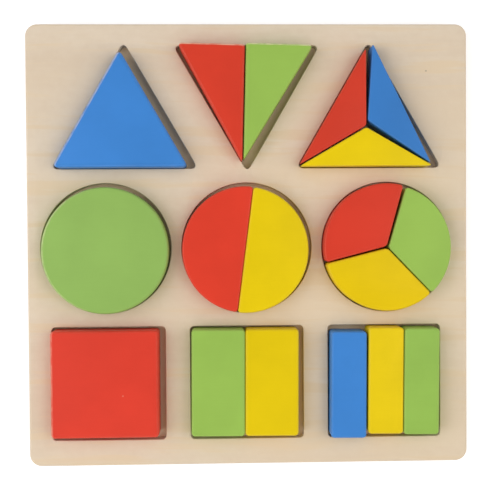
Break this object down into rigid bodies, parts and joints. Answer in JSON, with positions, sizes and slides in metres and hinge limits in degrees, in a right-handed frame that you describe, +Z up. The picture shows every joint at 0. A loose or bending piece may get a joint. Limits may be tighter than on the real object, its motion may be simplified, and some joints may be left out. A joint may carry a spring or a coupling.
{
  "type": "wooden fraction puzzle",
  "caption": "square plywood board with nine recesses that hold loose painted blocks: triangles, discs and squares, whole, halved and in thirds",
  "frame": {"origin": "the middle of the board's underside, on the table", "axes": "+X to the right and +Y away from someone who sits at the board with the triangles at the far side, +Z up out of the recesses"},
  "size_m": [0.225, 0.225, 0.0183],
  "materials": {
    "plywood": "bare sanded plywood",
    "backing": "bare thin plywood",
    "blue_paint": "satin painted wood",
    "red_paint": "satin painted wood",
    "green_paint": "satin painted wood",
    "yellow_paint": "satin painted wood"
  },
  "bodies": {
    "board": {"frame_plate": "plywood", "base_plate": "backing"},
    "triangle_whole_blue_body": {"triangle_whole_blue": "blue_paint"},
    "triangle_half_red_body": {"triangle_half_red": "red_paint"},
    "triangle_half_green_body": {"triangle_half_green": "green_paint"},
    "triangle_third_red_body": {"triangle_third_red": "red_paint"},
    "triangle_third_blue_body": {"triangle_third_blue": "blue_paint"},
    "triangle_third_yellow_body": {"triangle_third_yellow": "yellow_paint"},
    "disc_whole_green_body": {"disc_whole_green": "green_paint"},
    "disc_half_red_body": {"disc_half_red": "red_paint"},
    "disc_half_yellow_body": {"disc_half_yellow": "yellow_paint"},
    "disc_third_red_body": {"disc_third_red": "red_paint"},
    "disc_third_green_body": {"disc_third_green": "green_paint"},
    "disc_third_yellow_body": {"disc_third_yellow": "yellow_paint"},
    "square_whole_red_body": {"square_whole_red": "red_paint"},
    "square_half_green_body": {"square_half_green": "green_paint"},
    "square_half_yellow_body": {"square_half_yellow": "yellow_paint"},
    "square_third_blue_body": {"square_third_blue": "blue_paint"},
    "square_third_yellow_body": {"square_third_yellow": "yellow_paint"},
    "square_third_green_body": {"square_third_green": "green_paint"}
  },
  "joints": [
    {"name": "lift_triangle_whole_blue", "type": "slide", "parent": "board", "child": "triangle_whole_blue_body", "axis": [0, 0, 1], "range_m": [0, 0.025]},
    {"name": "lift_triangle_half_red", "type": "slide", "parent": "board", "child": "triangle_half_red_body", "axis": [0, 0, 1], "range_m": [0, 0.025]},
    {"name": "lift_triangle_half_green", "type": "slide", "parent": "board", "child": "triangle_half_green_body", "axis": [0, 0, 1], "range_m": [0, 0.025]},
    {"name": "lift_triangle_third_red", "type": "slide", "parent": "board", "child": "triangle_third_red_body", "axis": [0, 0, 1], "range_m": [0, 0.025]},
    {"name": "lift_triangle_third_blue", "type": "slide", "parent": "board", "child": "triangle_third_blue_body", "axis": [0, 0, 1], "range_m": [0, 0.025]},
    {"name": "lift_triangle_third_yellow", "type": "slide", "parent": "board", "child": "triangle_third_yellow_body", "axis": [0, 0, 1], "range_m": [0, 0.025]},
    {"name": "lift_disc_whole_green", "type": "slide", "parent": "board", "child": "disc_whole_green_body", "axis": [0, 0, 1], "range_m": [0, 0.025]},
    {"name": "lift_disc_half_red", "type": "slide", "parent": "board", "child": "disc_half_red_body", "axis": [0, 0, 1], "range_m": [0, 0.025]},
    {"name": "lift_disc_half_yellow", "type": "slide", "parent": "board", "child": "disc_half_yellow_body", "axis": [0, 0, 1], "range_m": [0, 0.025]},
    {"name": "lift_disc_third_red", "type": "slide", "parent": "board", "child": "disc_third_red_body", "axis": [0, 0, 1], "range_m": [0, 0.025]},
    {"name": "lift_disc_third_green", "type": "slide", "parent": "board", "child": "disc_third_green_body", "axis": [0, 0, 1], "range_m": [0, 0.025]},
    {"name": "lift_disc_third_yellow", "type": "slide", "parent": "board", "child": "disc_third_yellow_body", "axis": [0, 0, 1], "range_m": [0, 0.025]},
    {"name": "lift_square_whole_red", "type": "slide", "parent": "board", "child": "square_whole_red_body", "axis": [0, 0, 1], "range_m": [0, 0.025]},
    {"name": "lift_square_half_green", "type": "slide", "parent": "board", "child": "square_half_green_body", "axis": [0, 0, 1], "range_m": [0, 0.025]},
    {"name": "lift_square_half_yellow", "type": "slide", "parent": "board", "child": "square_half_yellow_body", "axis": [0, 0, 1], "range_m": [0, 0.025]},
    {"name": "lift_square_third_blue", "type": "slide", "parent": "board", "child": "square_third_blue_body", "axis": [0, 0, 1], "range_m": [0, 0.025]},
    {"name": "lift_square_third_yellow", "type": "slide", "parent": "board", "child": "square_third_yellow_body", "axis": [0, 0, 1], "range_m": [0, 0.025]},
    {"name": "lift_square_third_green", "type": "slide", "parent": "board", "child": "square_third_green_body", "axis": [0, 0, 1], "range_m": [0, 0.025]}
  ]
}
